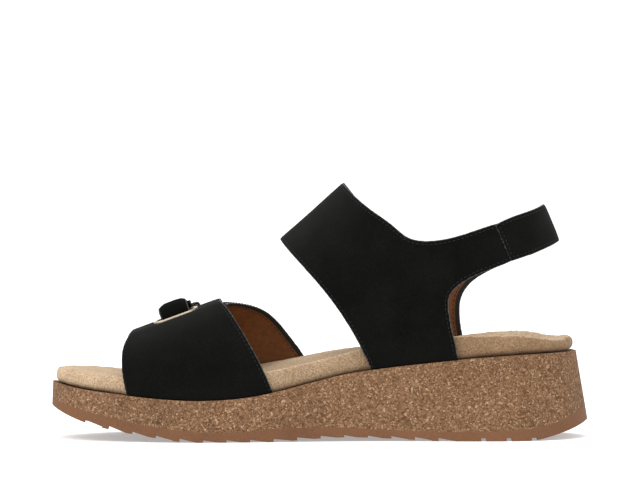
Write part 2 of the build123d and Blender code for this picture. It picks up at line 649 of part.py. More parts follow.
# ---------------------------------------------------------------- heel strap
def heel_area():
    """Inner side from the seam to the heel, outer side from the heel to the rounded tail."""
    top = Spline(*in_xz(HEEL_TOP[:4]))
    low = Spline(*in_xz(HEEL_LOW[:3]))
    peak = in_xz(HEEL_TOP[4:])[0]
    foot = in_xz(HEEL_LOW[3:])[0]
    inner = side_block([top, Line(top @ 1, peak), Line(peak, foot), Line(foot, low @ 1), low,
                        Line(low @ 0, top @ 0)], -WIDE, HEEL_Y)
    rear_top = Spline(*in_xz(HEEL_TOP[2:4]))
    tail = Spline(*in_xz(HEEL_TOP[2:3] + HEEL_TAIL + HEEL_LOW[1:2]))
    rear_low = Line(*in_xz(HEEL_LOW[1:3]))
    face = make_face([tail, Line(tail @ 0, rear_top @ 1), Line(rear_top @ 1, peak),
                      Line(peak, foot), Line(foot, rear_low @ 1), rear_low])
    outer = extrude(Pos(0, HEEL_Y, 0) * face, amount=WIDE, dir=(0, 1, -HEEL_SINK))
    return inner + outer


def make_heel_strap():
    return layers(heel_area(), ankle_form, (OUTER_T, PADDING_T, LINING_T))


def make_heel_patches():
    return patch_pair(polygon_block(HEEL_HOOK, HEEL_PATCH_Y),
                      polygon_block(HEEL_LOOP, HEEL_PATCH_Y))


# ---------------------------------------------------------------- assembly
def build_sandal():
    nodes = {}
    block = sole_block()
    nodes["outsole"] = make_outsole(block)
    nodes["shank"] = make_shank()
    nodes["wedge_midsole"] = make_wedge(block, nodes["shank"])
    nodes["insole_board"] = make_board()
    core, foam, cover = make_footbed()
    nodes["footbed_core"] = core
    nodes["footbed_foam"] = foam
    nodes["footbed_cover"] = cover

    outer_m, lining_m, outer_l, lining_l = make_toe_panels()
    frame, backing = make_slot_frame()
    solid_frame = frame + backing + slot_tool(2 * BAND_T)
    nodes["toe_band_medial_outer"] = outer_m - solid_frame
    nodes["toe_band_medial_lining"] = lining_m - solid_frame
    nodes["toe_band_lateral_outer"] = outer_l
    nodes["toe_band_lateral_lining"] = lining_l
    nodes["slot_frame"] = frame
    nodes["slot_frame_back"] = backing
    nodes["toe_strap_base"] = make_strap_base()
    nodes["toe_flap_outer"], nodes["toe_flap_lining"] = make_toe_flap()
    nodes["toe_hook_patch"], nodes["toe_loop_patch"] = make_toe_patches()

    names = ("outer", "padding", "lining")
    for name, piece in zip(names, make_medial_quarter()):
        nodes["quarter_medial_" + name] = piece
    for name, piece in zip(names, make_lateral_quarter()):
        nodes["quarter_lateral_" + name] = piece
    nodes["instep_flap_outer"], nodes["instep_flap_lining"] = make_instep_flap()
    nodes["instep_hook_patch"], nodes["instep_loop_patch"] = make_instep_patches()
    for name, piece in zip(names, make_heel_strap()):
        nodes["heel_strap_" + name] = piece
    nodes["heel_hook_patch"], nodes["heel_loop_patch"] = make_heel_patches()

    return nodes


def main():
    os.makedirs("parts", exist_ok=True)
    for name, piece in build_sandal().items():
        piece = Pos(SHIFT_X, SHIFT_Y, 0) * piece
        export_step(Compound(piece.solids()), "parts/" + name + ".step")


main()
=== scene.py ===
import json
import math
import random

import bmesh
import bpy
import numpy as np
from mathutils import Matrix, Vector, kdtree
from mathutils.bvhtree import BVHTree


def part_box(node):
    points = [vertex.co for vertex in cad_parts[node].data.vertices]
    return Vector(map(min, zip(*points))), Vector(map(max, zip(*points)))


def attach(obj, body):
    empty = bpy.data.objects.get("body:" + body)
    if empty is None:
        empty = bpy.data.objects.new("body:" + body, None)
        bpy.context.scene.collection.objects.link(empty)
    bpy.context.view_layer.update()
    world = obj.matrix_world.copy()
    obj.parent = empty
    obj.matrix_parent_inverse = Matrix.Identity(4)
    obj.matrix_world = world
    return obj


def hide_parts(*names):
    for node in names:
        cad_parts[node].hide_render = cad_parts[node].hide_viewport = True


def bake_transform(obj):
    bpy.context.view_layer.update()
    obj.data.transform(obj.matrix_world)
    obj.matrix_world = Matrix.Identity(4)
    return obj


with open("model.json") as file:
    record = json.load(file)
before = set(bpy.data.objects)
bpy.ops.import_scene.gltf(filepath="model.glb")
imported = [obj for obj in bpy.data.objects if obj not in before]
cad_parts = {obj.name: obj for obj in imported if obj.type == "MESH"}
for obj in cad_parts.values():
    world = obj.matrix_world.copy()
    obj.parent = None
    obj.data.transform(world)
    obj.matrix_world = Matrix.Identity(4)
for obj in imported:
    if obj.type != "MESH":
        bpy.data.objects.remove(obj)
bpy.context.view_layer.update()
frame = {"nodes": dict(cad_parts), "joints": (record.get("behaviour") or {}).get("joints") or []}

SCENE = bpy.context.scene
MM = 0.001

# ---- view ----
CAMERA_DISTANCE = 6.0
CAMERA_ELEVATION = 3.0
PICTURE_WIDTH = 0.3085          # width of the view at the object, metres
AIM = (0.0, 0.0, 0.0947)
WORLD_STRENGTH = 1.12
SENSOR = 36.0
CLIP = (0.05, 50)
FLOOR_HALF = 12.0
FLOOR_GLOW = 0.35               # keeps the floor white where the sandal shades it
LIGHTS = (("key", (-0.5, -0.9, 1.1), (0.9, 0.7), 9),       # name, place, size, watts
          ("top", (0.1, 0.2, 1.3), (1.0, 1.0), 8))
LIGHT_AIM = (0, 0, 0.05)

# ---- leather ----
VOXEL_THIN = 0.4 * MM
VOXEL = 0.5 * MM
VOXEL_PADDED = 0.55 * MM
STITCH_INSET = 1.7 * MM
STITCH_PITCH = 2.2 * MM
STITCH_LENGTH = 1.5 * MM
# along a stitch: (share of its length, lift and radius, both in thread radii)
STITCH_SHAPE = ((0.0, -0.9, 0.55), (0.12, 0.25, 1.0), (0.5, 0.75, 1.05), (0.88, 0.25, 1.0),
                (1.0, -0.9, 0.55))
STITCH_LEAD = 0.1               # a stitch starts this share of the pitch after its mark
SHORTEST_SEAM = 4               # stitches
FEWEST_POINTS = 8               # in a chain that gets sewn
SEAM_SMOOTHING = 6
THREAD_R = 0.18 * MM
THREAD_SIDES = 6
GROOVE_DEPTH = 0.14 * MM
GROOVE_WIDTH = 0.45 * MM
LINING_INSET = 3.4 * MM         # stitches on the lining, from the edge
BINDING = 2.6 * MM              # black turned edge round the lining
BINDING_BLUR = 0.3 * MM
FOLD_BINDING = 4.5 * MM         # the same at the toe strap, whose fold is black inside
CUT_FULL = 0.6 * MM             # the cut edge is grey up to here, and fades over CUT_FADE
CUT_FADE = 1.0 * MM
EDGE_ROLL = 0.35 * MM
EDGE_REACH = 0.7 * MM
WAVE = 0.22 * MM
WAVE_COUNT = 5                  # sine waves added up
WAVE_SIZE = 38 * MM
WAVE_FADE = 8 * MM              # no waves along the edges
SEWN_DOWN = 1.2 * MM            # an edge this near the wedge is not a free edge
BORDER_STEP = 0.4 * MM
SHARP = math.radians(40)
SMOOTHING = 10                  # rounds after the remesh
FOOT_MIDDLE_Z = 0.03

# ---- footbed ----
FOOTBED_VOXEL = 0.8 * MM
FOOTBED_SMOOTH = 14
FOOTBED_PUSH = ((-0.108, 3.0 * MM), (-0.098, 0.5 * MM), (0.075, 0.5 * MM), (0.086, 2.4 * MM))
FOOTBED_WAVE = 0.12 * MM
FOOTBED_WAVE_SIZE = 30 * MM
RIM_LIFT = ((-0.110, 0.5 * MM), (-0.095, 0.2 * MM), (0.060, 0.4 * MM), (0.085, 1.1 * MM))
RIM_REACH = 8.0 * MM            # the rim is drawn up over this much height
WALL_SHADE_LENGTH = 0.16        # painted shade on the upright sides grows towards the heel over this length
WEDGE_SLICES = 60
SLICE_HALF = 6 * MM

# ---- toe strap ----
SLOT_CLEARANCE = 16 * MM        # no stitches nearer to the slot
PANEL_SEAM_END = 7.0 * MM       # past the slot the panel's edge is not sewn
FOLD_GAP = 0.35 * MM            # closes the gap between the two pieces of a folded strap
FOLD_SLACK = 0.9 * MM
FOLD_SMOOTH = 26
FOLD_LINING_SMOOTH = 34
FOLD_EDGE = (0.8 * MM, 1.6 * MM)    # edge roll and its reach
FOLD_DROOP = 2.2 * MM           # the ends of the toe strap's fold hang by this much
FOLD_DROOP_REAR = 1.2 * MM
FOLD_LIFT = 1.3 * MM
FOLD_FLAT = 3.0 * MM            # from the middle of the fold
FOLD_HALF = 7.2 * MM
FOLD_HEIGHT = 5.0 * MM
TOE_BEND = (-1.0 * MM, 6.0 * MM)    # distances either side of the fold, made into the toe strap's blend points; place does not bend with them
INSTEP_BEND = (-2.0 * MM, 10.0 * MM)

# ---- heel strap ----
HEEL_LAP = 2.5 * MM             # the heel strap passes the seam by this much
HEEL_LAP_FADE = 8.0 * MM
HEEL_PROUD = 1.1 * MM
HEEL_BEND = ((0.5 * MM, 0, 0), (12 * MM, 3 * MM, 0))
HEEL_OUTWARD = (0.1, -1, 0)


# ---------------------------------------------------------------- materials
def as_colour(value):
    """A colour as it is, or a number as a grey."""
    return value if isinstance(value, tuple) else (value,) * 3


class Nodes:
    """Short way to build a node material."""

    def __init__(self, name):
        self.material = bpy.data.materials.new(name)
        self.material.use_nodes = True
        self.tree = self.material.node_tree
        self.shader = self.tree.nodes["Principled BSDF"]
        self.coords = self.tree.nodes.new("ShaderNodeTexCoord").outputs["Object"]

    def node(self, kind, **settings):
        made = self.tree.nodes.new("ShaderNode" + kind)
        for key, value in settings.items():
            setattr(made, key, value)
        return made

    def link(self, source, target):
        self.tree.links.new(source, target)

    def noise(self, scale, detail=3.0, rough=0.55, stretch=None):
        made = self.node("TexNoise")
        made.inputs["Scale"].default_value = scale
        made.inputs["Detail"].default_value = detail
        made.inputs["Roughness"].default_value = rough
        self.link(self.stretched(stretch), made.inputs["Vector"])
        return made.outputs["Fac"]

    def stretched(self, stretch):
        if stretch is None:
            return self.coords
        mapping = self.node("Mapping")
        mapping.inputs["Scale"].default_value = stretch
        self.link(self.coords, mapping.inputs["Vector"])
        return mapping.outputs["Vector"]

    def cells(self, scale, feature="F1", vector=None):
        made = self.node("TexVoronoi", feature=feature)
        made.inputs["Scale"].default_value = scale
        self.link(vector or self.coords, made.inputs["Vector"])
        return made

    def ramp(self, factor, stops):
        made = self.node("ValToRGB")
        elements = made.color_ramp.elements
        while len(elements) < len(stops):
            elements.new(0.5)
        for element, (place, colour) in zip(elements, stops):
            element.position = place
            element.color = (*as_colour(colour), 1.0)
        self.link(factor, made.inputs["Fac"])
        return made.outputs["Color"]

    def grey(self, colour):
        made = self.node("SeparateColor")
        self.link(colour, made.inputs["Color"])
        return made.outputs["Red"]

    def mix(self, factor, first, second, blend="MIX"):
        made = self.node("Mix", data_type="RGBA", blend_type=blend)
        for value, socket in ((factor, made.inputs[0]), (first, made.inputs[6]),
                              (second, made.inputs[7])):
            if isinstance(value, (int, float)):
                socket.default_value = value
            elif isinstance(value, tuple):
                socket.default_value = (*value, 1.0)
            else:
                self.link(value, socket)
        return made.outputs[2]

    def maths(self, operation, first, second=0.0):
        made = self.node("Math", operation=operation)
        for value, socket in ((first, made.inputs[0]), (second, made.inputs[1])):
            if isinstance(value, (int, float)):
                socket.default_value = value
            else:
                self.link(value, socket)
        return made.outputs[0]

    def attribute(self, name):
        return self.node("Attribute", attribute_name=name).outputs["Fac"]

    def bump(self, layers):
        """Bumps stacked on each other: (height, distance in metres, strength)."""
        normal = None
        for height, distance, strength in layers:
            made = self.node("Bump")
            made.inputs["Distance"].default_value = distance
            made.inputs["Strength"].default_value = strength
            self.link(height, made.inputs["Height"])
            if normal is not None:
                self.link(normal, made.inputs["Normal"])
            normal = made.outputs["Normal"]
        self.link(normal, self.shader.inputs["Normal"])

    def finish(self, colour, **values):
        if isinstance(colour, tuple):
            self.shader.inputs["Base Color"].default_value = (*colour, 1.0)
        else:
            self.link(colour, self.shader.inputs["Base Color"])
        for key, value in values.items():
            socket = self.shader.inputs[key.replace("_", " ")]
            if isinstance(value, (int, float, tuple)):
                socket.default_value = value
            else:
                self.link(value, socket)
        return self.material


def black_suede():
    m = Nodes("black_suede")
    nap = m.noise(1500, 4.0, 0.65)
    patches = m.noise(70, 3.0, 0.5)
    fine = m.ramp(nap, ((0.30, (0.0014, 0.0014, 0.0013)), (0.75, (0.0052, 0.0052, 0.0048))))
    brushed = m.ramp(patches, ((0.35, 0.78), (0.68, (1.25, 1.25, 1.22))))
    colour = m.mix(1.0, fine, brushed, "MULTIPLY")
    edge = m.attribute("edge")
    cut = m.ramp(m.noise(900, 3.0), ((0.3, (0.045, 0.046, 0.047)), (0.7, 0.105)))
    colour = m.mix(edge, colour, cut)
    m.bump(((patches, 0.0004, 0.25), (nap, 0.00012, 0.7)))
    return m.finish(colour, Roughness=0.95, Specular_IOR_Level=0.05, Sheen_Weight=0.03,
                    Sheen_Roughness=0.55, Sheen_Tint=(0.78, 0.77, 0.74, 1.0))


def lining_leather():
    m = Nodes("lining_leather")
    grain = m.cells(1300)
    pores = m.noise(420, 4.0)
    tone = m.noise(45, 3.0)
    colour = m.ramp(tone, ((0.32, (0.128, 0.042, 0.010)), (0.70, (0.200, 0.074, 0.021))))
    dark = m.ramp(pores, ((0.32, 0.80), (0.60, 1.06)))
    colour = m.mix(1.0, colour, dark, "MULTIPLY")
    colour = m.mix(m.attribute("edge"), colour, (0.004, 0.004, 0.004))
    m.bump(((pores, 0.0002, 0.35), (grain.outputs["Distance"], 0.00016, 0.45)))
    rough = m.ramp(pores, ((0.3, 0.62), (0.7, 0.46)))
    return m.finish(colour, Roughness=m.grey(rough), Specular_IOR_Level=0.35)


def footbed_suede():
    m = Nodes("footbed_suede")
    nap = m.noise(1300, 4.0, 0.65)
    patches = m.noise(60, 3.0, 0.5, (1.0, 1.6, 1.0))
    colour = m.ramp(patches, ((0.30, (0.400, 0.285, 0.180)), (0.70, (0.480, 0.355, 0.235))))
    fibre = m.ramp(nap, ((0.36, (0.56, 0.53, 0.49)), (0.64, 1.22)))
    colour = m.mix(1.0, colour, fibre, "MULTIPLY")
    # painted shade: the side attribute darkens the upright sides, standing in for the shade they get
    # under a top light
    painted_wall_shade = m.mix(m.attribute("side"), (1.0, 1.0, 1.0), (0.55, 0.48, 0.41))
    colour = m.mix(1.0, colour, painted_wall_shade, "MULTIPLY")
    m.bump(((patches, 0.0004, 0.2), (nap, 0.00013, 0.7)))
    return m.finish(colour, Roughness=0.93, Specular_IOR_Level=0.15, Sheen_Weight=0.12,
                    Sheen_Roughness=0.5, Sheen_Tint=(0.95, 0.88, 0.78, 1.0))


def cork():
    """Pressed granules of several sizes, with dark seams and small holes."""
    m = Nodes("cork")
    warp = m.node("TexNoise")
    warp.inputs["Scale"].default_value = 420
    m.link(m.coords, warp.inputs["Vector"])
    shifted = m.node("VectorMath", operation="MULTIPLY_ADD")
    m.link(warp.outputs["Color"], shifted.inputs[0])
    shifted.inputs[1].default_value = (0.0013, 0.0013, 0.0013)
    m.link(m.coords, shifted.inputs[2])
    warped = shifted.outputs[0]
    large = m.cells(980, vector=warped)
    small = m.cells(2000, vector=warped)
    seams = m.cells(980, "DISTANCE_TO_EDGE", warped)
    big_tone = m.ramp(m.grey(large.outputs["Color"]),
                      ((0.05, (0.092, 0.044, 0.020)), (0.30, (0.145, 0.073, 0.035)),
                       (0.62, (0.192, 0.102, 0.051)), (0.90, (0.235, 0.132, 0.070)),
                       (0.98, (0.380, 0.245, 0.148))))
    small_tone = m.ramp(m.grey(small.outputs["Color"]),
                        ((0.08, (0.088, 0.042, 0.018)), (0.40, (0.160, 0.083, 0.040)),
                         (0.78, (0.210, 0.114, 0.058)), (0.95, (0.380, 0.245, 0.150))))
    pick = m.ramp(m.noise(560, 2.0), ((0.46, 0.0), (0.54, 1.0)))
    colour = m.mix(m.grey(pick), big_tone, small_tone)
    seam = m.ramp(seams.outputs["Distance"], ((0.0, (0.78, 0.75, 0.72)), (0.08, 1.0)))
    colour = m.mix(0.8, colour, seam, "MULTIPLY")
    specks = m.ramp(m.noise(1100, 3.0, 0.6), ((0.30, (0.58, 0.54, 0.50)), (0.40, 1.0)))
    colour = m.mix(1.0, colour, specks, "MULTIPLY")
    cloud = m.ramp(m.noise(35, 2.0), ((0.3, 0.92), (0.7, 1.08)))
    colour = m.mix(1.0, colour, cloud, "MULTIPLY")
    m.bump(((m.grey(large.outputs["Color"]), 0.00022, 0.5), (seams.outputs["Distance"], 0.0008, 0.35),
            (m.noise(900, 4.0), 0.0002, 0.6)))
    return m.finish(colour, Roughness=0.86, Specular_IOR_Level=0.22)


def outsole_rubber():
    m = Nodes("outsole_rubber")
    speckle = m.noise(1400, 3.0, 0.6)
    tone = m.noise(30, 2.0)
    colour = m.ramp(tone, ((0.3, (0.138, 0.062, 0.029)), (0.7, (0.180, 0.082, 0.039))))
    dust = m.ramp(speckle, ((0.3, 0.82), (0.7, 1.12)))
    colour = m.mix(1.0, colour, dust, "MULTIPLY")
    m.bump(((m.noise(300, 3.0), 0.0002, 0.25), (speckle, 0.00008, 0.5)))
    return m.finish(colour, Roughness=0.68, Specular_IOR_Level=0.2)


def frame_metal():
    m = Nodes("frame_metal")
    satin = m.noise(900, 3.0, 0.6, (1.0, 6.0, 6.0))
    colour = m.ramp(satin, ((0.3, (0.66, 0.55, 0.39)), (0.7, (0.80, 0.69, 0.52))))
    rough = m.ramp(satin, ((0.3, 0.26), (0.7, 0.38)))
    m.bump(((satin, 0.00003, 0.4),))
    return m.finish(colour, Metallic=1.0, Roughness=m.grey(rough))


def tape(name, scale):
    m = Nodes(name)
    weave = m.cells(scale)
    colour = m.ramp(weave.outputs["Distance"],
                    ((0.0, (0.030, 0.030, 0.031)), (0.7, 0.006)))
    m.bump(((weave.outputs["Distance"], 0.0005, 0.9),))
    return m.finish(colour, Roughness=0.8, Specular_IOR_Level=0.3)


def thread():
    m = Nodes("thread")
    twist = m.noise(2600, 2.0)
    colour = m.ramp(twist, ((0.3, 0.006), (0.7, 0.020)))
    m.bump(((twist, 0.0001, 0.5),))
    return m.finish(colour, Roughness=0.7, Specular_IOR_Level=0.15)


def floor_white():
    m = Nodes("floor_white")
    grain = m.noise(8, 2.0)
    colour = m.ramp(grain, ((0.0, 0.74), (1.0, 0.76)))
    return m.finish(colour, Roughness=0.9, Specular_IOR_Level=0.1,
                    Emission_Color=(1.0, 1.0, 1.0, 1.0), Emission_Strength=FLOOR_GLOW)


MATERIALS = {
    "black_suede": black_suede(),
    "lining_leather": lining_leather(),
    "footbed_suede": footbed_suede(),
    "cork": cork(),
    "outsole_rubber": outsole_rubber(),
    "frame_metal": frame_metal(),
    "hook_tape": tape("hook_tape", 1500),
    "loop_tape": tape("loop_tape", 900),
    "thread": thread(),
    "floor_white": floor_white(),
}


# ---------------------------------------------------------------- geometry helpers
def joined_copy(name, nodes, shifts=None):
    """One closed mesh object made of copies of CAD nodes."""
    bm = bmesh.new()
    for node in nodes:
        before = len(bm.verts)
        bm.from_mesh(frame["nodes"][node].data)
        bm.verts.ensure_lookup_table()
        if shifts and node in shifts:
            bmesh.ops.translate(bm, verts=bm.verts[before:], vec=shifts[node])
    bmesh.ops.remove_doubles(bm, verts=bm.verts, dist=1e-6)
    mesh = bpy.data.meshes.new(name)
    bm.to_mesh(mesh)
    bm.free()
    made = bpy.data.objects.new(name, mesh)
    SCENE.collection.objects.link(made)
    return made


def baked(obj):
    """Applies all modifiers."""
    bpy.context.view_layer.update()
    shape = obj.evaluated_get(bpy.context.evaluated_depsgraph_get())
    mesh = bpy.data.meshes.new_from_object(shape)
    obj.modifiers.clear()
    old = obj.data
    obj.data = mesh
    mesh.name = old.name
    bpy.data.meshes.remove(old)


def remeshed(obj, voxel, smooth):
    modifier = obj.modifiers.new("voxel", "REMESH")
    modifier.mode = "VOXEL"
    modifier.voxel_size = voxel
    soften(obj, smooth)
    baked(obj)


def points_of(mesh):
    co = np.empty(len(mesh.vertices) * 3)
    mesh.vertices.foreach_get("co", co)
    return co.reshape(-1, 3)


def normals_of(mesh):
    normals = np.empty(len(mesh.vertices) * 3)
    mesh.vertex_normals.foreach_get("vector", normals)
    return normals.reshape(-1, 3)


def set_points(mesh, co):
    mesh.vertices.foreach_set("co", co.ravel())
    mesh.update()


def add_attribute(mesh, name, values):
    attribute = mesh.attributes.new(name, "FLOAT", "POINT")
    attribute.data.foreach_set("value", values.astype(np.float32))


def dress(obj, material):
    """One material and smooth shading all over."""
    obj.data.materials.clear()
    obj.data.materials.append(MATERIALS[material])
    for polygon in obj.data.polygons:
        polygon.use_smooth = True


def soften(obj, iterations):
    modifier = obj.modifiers.new("soften", "SMOOTH")
    modifier.factor = 0.5
    modifier.iterations = iterations


class Skin:
    """Outer face of a leather part of the CAD model, with the border round it."""

    def __init__(self, nodes, shifts, skip_border):
        source = joined_copy("skin_source", nodes, shifts)
        bm = bmesh.new()
        bm.from_mesh(source.data)
        bpy.data.objects.remove(source)
        bm.faces.ensure_lookup_table()
        self.tag_outer_faces(bm)
        self.find_border(bm, skip_border)
        corners = [v.co.copy() for v in bm.verts]
        faces = [[v.index for v in f.verts] for f in bm.faces]
        self.tree = BVHTree.FromPolygons(corners, faces)
        self.outer_face = [f.tag for f in bm.faces]
        bm.free()

    def tag_outer_faces(self, bm):
        """Tags the faces of each solid's outermost smooth region."""
        regions = self.connected(bm, lambda edge: len(edge.link_faces) == 2
                                 and edge.calc_face_angle(0) <= SHARP)
        solids = self.connected(bm, lambda edge: True)
        solid_of = {face: number for number, faces in enumerate(solids) for face in faces}
        in_solid = {}
        for region in regions:
            in_solid.setdefault(solid_of[region[0]], []).append(region)
        for face in bm.faces:
            face.tag = False
        for candidates in in_solid.values():
            candidates.sort(key=lambda faces: -sum(f.calc_area() for f in faces))
            for face in max(candidates[:2], key=self.outwardness):
                face.tag = True

    @staticmethod
    def connected(bm, crosses):
        """Groups of faces joined over the edges that may be crossed."""
        seen = set()
        groups = []
        for start in bm.faces:
            if start in seen:
                continue
            group = []
            todo = [start]
            seen.add(start)
            while todo:
                face = todo.pop()
                group.append(face)
                for edge in face.edges:
                    if not crosses(edge):
                        continue
                    for other in edge.link_faces:
                        if other not in seen:
                            seen.add(other)
                            todo.append(other)
            groups.append(group)
        return groups

    @staticmethod
    def outwardness(group):
        """How much a group of faces looks away from the middle of the foot."""
        total = 0.0
        for face in group:
            middle = face.calc_center_median()
            away = Vector((0.0, middle.y, middle.z - FOOT_MIDDLE_Z))
            total += face.calc_area() * face.normal.dot(away.normalized())
        return total / sum(f.calc_area() for f in group)

    def find_border(self, bm, skip_border):
        samples = []
        for edge in bm.edges:
            tags = [f.tag for f in edge.link_faces]
            if True not in tags or False not in tags:
                continue
            a, b = (v.co for v in edge.verts)
            count = max(1, int((b - a).length / BORDER_STEP))
            for i in range(count + 1):
                point = a.lerp(b, i / count)
                if not skip_border(point):
                    samples.append(point)
        self.border = kdtree.KDTree(len(samples))
        for i, point in enumerate(samples):
            self.border.insert(point, i)
        self.border.balance()

    def measure(self, co):
        """For each point: is it on the outer face, and how far from the border."""
        outer = np.zeros(len(co), bool)
        distance = np.ones(len(co))
        for i, point in enumerate(co):
            found = self.tree.find_nearest(point)
            if found[2] is not None and self.outer_face[found[2]]:
                outer[i] = True
            distance[i] = self.border.find(point)[2]
        return outer, distance


def wedge_top(x):
    """Height of the wedge's upper edge at x, from the CAD wedge."""
    return float(np.interp(x, WEDGE_X, WEDGE_Z))


def read_wedge_top():
    """The wedge's upper edge, as x and z."""
    co = points_of(frame["nodes"]["wedge_midsole"].data)
    xs = np.linspace(co[:, 0].min(), co[:, 0].max(), WEDGE_SLICES)
    zs = []
    for x in xs:
        near = co[np.abs(co[:, 0] - x) < SLICE_HALF]
        zs.append(near[:, 2].max())
    return xs, np.array(zs)


WEDGE_X, WEDGE_Z = read_wedge_top()


def smooth_noise(co, size, seed):
    """Slow wander between -1 and 1 over the points, from a few sine waves."""
    dice = random.Random(seed)
    total = np.zeros(len(co))
    for _ in range(WAVE_COUNT):
        direction = np.array([dice.uniform(-1, 1) for _ in range(3)])
        direction *= 2 * math.pi / size / np.linalg.norm(direction) * dice.uniform(0.6, 1.5)
        total += np.sin(co @ direction + dice.uniform(0, 2 * math.pi))
    return total / WAVE_COUNT


def contour(mesh, outer, distance, level):
    """Chains of points where the distance from the border crosses a level."""
    co = points_of(mesh)
    links = {}
    places = {}
    for polygon in mesh.polygons:
        corners = list(polygon.vertices)
        if not all(outer[c] for c in corners):
            continue
        crossed = []
        for a, b in zip(corners, corners[1:] + corners[:1]):
            if (distance[a] < level) != (distance[b] < level):
                key = (min(a, b), max(a, b))
                share = (level - distance[a]) / (distance[b] - distance[a])
                places[key] = (co[a] + (co[b] - co[a]) * share, polygon.normal.copy())
                crossed.append(key)
        if len(crossed) == 2:
            links.setdefault(crossed[0], []).append(crossed[1])
            links.setdefault(crossed[1], []).append(crossed[0])
    chains = []
    seen = set()
    ends = [k for k, v in links.items() if len(v) == 1]
    for start in ends + list(links):
        if start in seen:
            continue
        chain = [start]
        seen.add(start)
        here = start
        while True:
            following = [k for k in links[here] if k not in seen]
            if not following:
                break
            here = following[0]
            seen.add(here)
            chain.append(here)
        chains.append([places[k] for k in chain])
    return chains


def stitch(bm, centres, ups):
    """One stitch: a short thread that bulges in the middle and dips at both ends."""
    up = Vector(ups[2]).normalized()
    forward = Vector(centres[-1] - centres[0]).normalized()
    side = forward.cross(up).normalized()
    rings = []
    for (_, lift, fat), centre in zip(STITCH_SHAPE, centres):
        middle = Vector(centre) + up * (lift * THREAD_R)
        ring = []
        for corner in range(THREAD_SIDES):
            angle = 2 * math.pi * corner / THREAD_SIDES
            offset = side * math.cos(angle) + up * math.sin(angle)
            ring.append(bm.verts.new(middle + offset * (THREAD_R * fat)))
        rings.append(ring)
    for one, two in zip(rings, rings[1:]):
        for i in range(THREAD_SIDES):
            j = (i + 1) % THREAD_SIDES
            bm.faces.new((one[i], one[j], two[j], two[i]))
    bm.faces.new(rings[0][::-1])
    bm.faces.new(rings[-1])


def stitches(name, chains, keep):
    """Sewing thread lying in short stitches along the chains."""
    bm = bmesh.new()
    for chain in chains:
        path = np.array([tuple(p) for p, _ in chain])
        normals = np.array([tuple(n) for _, n in chain])
        if len(path) < FEWEST_POINTS:
            continue
        for _ in range(SEAM_SMOOTHING):
            path[1:-1] = (path[:-2] + path[1:-1] * 2 + path[2:]) / 4
            normals[1:-1] = (normals[:-2] + normals[1:-1] * 2 + normals[2:]) / 4
        steps = np.linalg.norm(np.diff(path, axis=0), axis=1)
        along = np.concatenate(([0], np.cumsum(steps)))
        if along[-1] < SHORTEST_SEAM * STITCH_PITCH:
            continue
        for i in range(int(along[-1] / STITCH_PITCH)):
            begin = (i + STITCH_LEAD) * STITCH_PITCH
            spots = begin + np.array([share for share, _, _ in STITCH_SHAPE]) * STITCH_LENGTH
            centres = np.stack([np.interp(spots, along, path[:, k]) for k in range(3)], 1)
            ups = np.stack([np.interp(spots, along, normals[:, k]) for k in range(3)], 1)
            if keep(centres[2]):
                stitch(bm, centres, ups)
    bmesh.ops.recalc_face_normals(bm, faces=bm.faces)
    mesh = bpy.data.meshes.new(name)
    bm.to_mesh(mesh)
    bm.free()
    made = bpy.data.objects.new(name, mesh)
    SCENE.collection.objects.link(made)
    dress(made, "thread")
    return made


def leather(name, nodes, material, voxel, seed, sew=True, smooth=SMOOTHING, shifts=None,
            skip_border=None, keep=None, adjust=None, soft_edge=(EDGE_ROLL, EDGE_REACH),
            binding=BINDING):
    """A sewn leather part: soft edges, stitch groove, slight waves, and its stitches."""
    is_lining = material == "lining_leather"

    def not_free(point):
        sewn_down = point.z < wedge_top(point.x) + SEWN_DOWN
        return sewn_down or (skip_border is not None and skip_border(point))

    skin = Skin(nodes, shifts, not_free)
    piece = joined_copy(name, nodes, shifts)
    remeshed(piece, voxel, smooth)
    mesh = piece.data
    co = points_of(mesh)
    normals = normals_of(mesh)
    outer, distance = skin.measure(co)
    sink = soft_edge[0] * np.exp(-distance / soft_edge[1])
    if sew and not is_lining:
        sink += GROOVE_DEPTH * np.exp(-((distance - STITCH_INSET) / GROOVE_WIDTH) ** 2)
    wave = WAVE * smooth_noise(co, WAVE_SIZE, seed) * np.clip(distance / WAVE_FADE, 0, 1)
    shift = np.where(outer, -sink, 0.0) + wave
    co = co + normals * shift[:, None]
    if adjust:
        co = adjust(co)
    set_points(mesh, co)
    if is_lining:
        edge = np.clip((binding - distance) / BINDING_BLUR + 0.5, 0, 1)
    else:
        edge = np.where(outer, 0.0, np.clip(1 + (CUT_FULL - distance) / CUT_FADE, 0, 1))
    add_attribute(mesh, "edge", edge)
    dress(piece, material)
    if not sew:
        return piece, None
    face, inset = (~outer, LINING_INSET) if is_lining else (outer, STITCH_INSET)
    chains = contour(mesh, face, distance, inset)
    return piece, stitches(name + "_stitches", chains, keep or (lambda point: True))


def place(pieces, body, slot, replaced, blend=None):
    """Puts a piece and its stitches on a body, or, given a blend, only bakes their transforms; then
    hides the CAD nodes it replaces.
    """
    piece, sewn = pieces
    for obj in (piece, sewn):
        if obj is None:
            continue
        if blend:
            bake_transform(obj)
        else:
            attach(obj, body)
    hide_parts(*replaced)


# ---------------------------------------------------------------- camera, light, floor
def make_camera():
    data = bpy.data.cameras.new("camera")
    data.sensor_width = SENSOR
    data.lens = SENSOR * CAMERA_DISTANCE / PICTURE_WIDTH
    camera = bpy.data.objects.new("camera", data)
    SCENE.collection.objects.link(camera)
    tilt = math.radians(CAMERA_ELEVATION)
    aim = Vector(AIM)
    camera.location = aim + Vector((0, -math.cos(tilt), math.sin(tilt))) * CAMERA_DISTANCE
    camera.rotation_euler = (math.radians(90) - tilt, 0, 0)
    data.clip_start, data.clip_end = CLIP
    SCENE.camera = camera


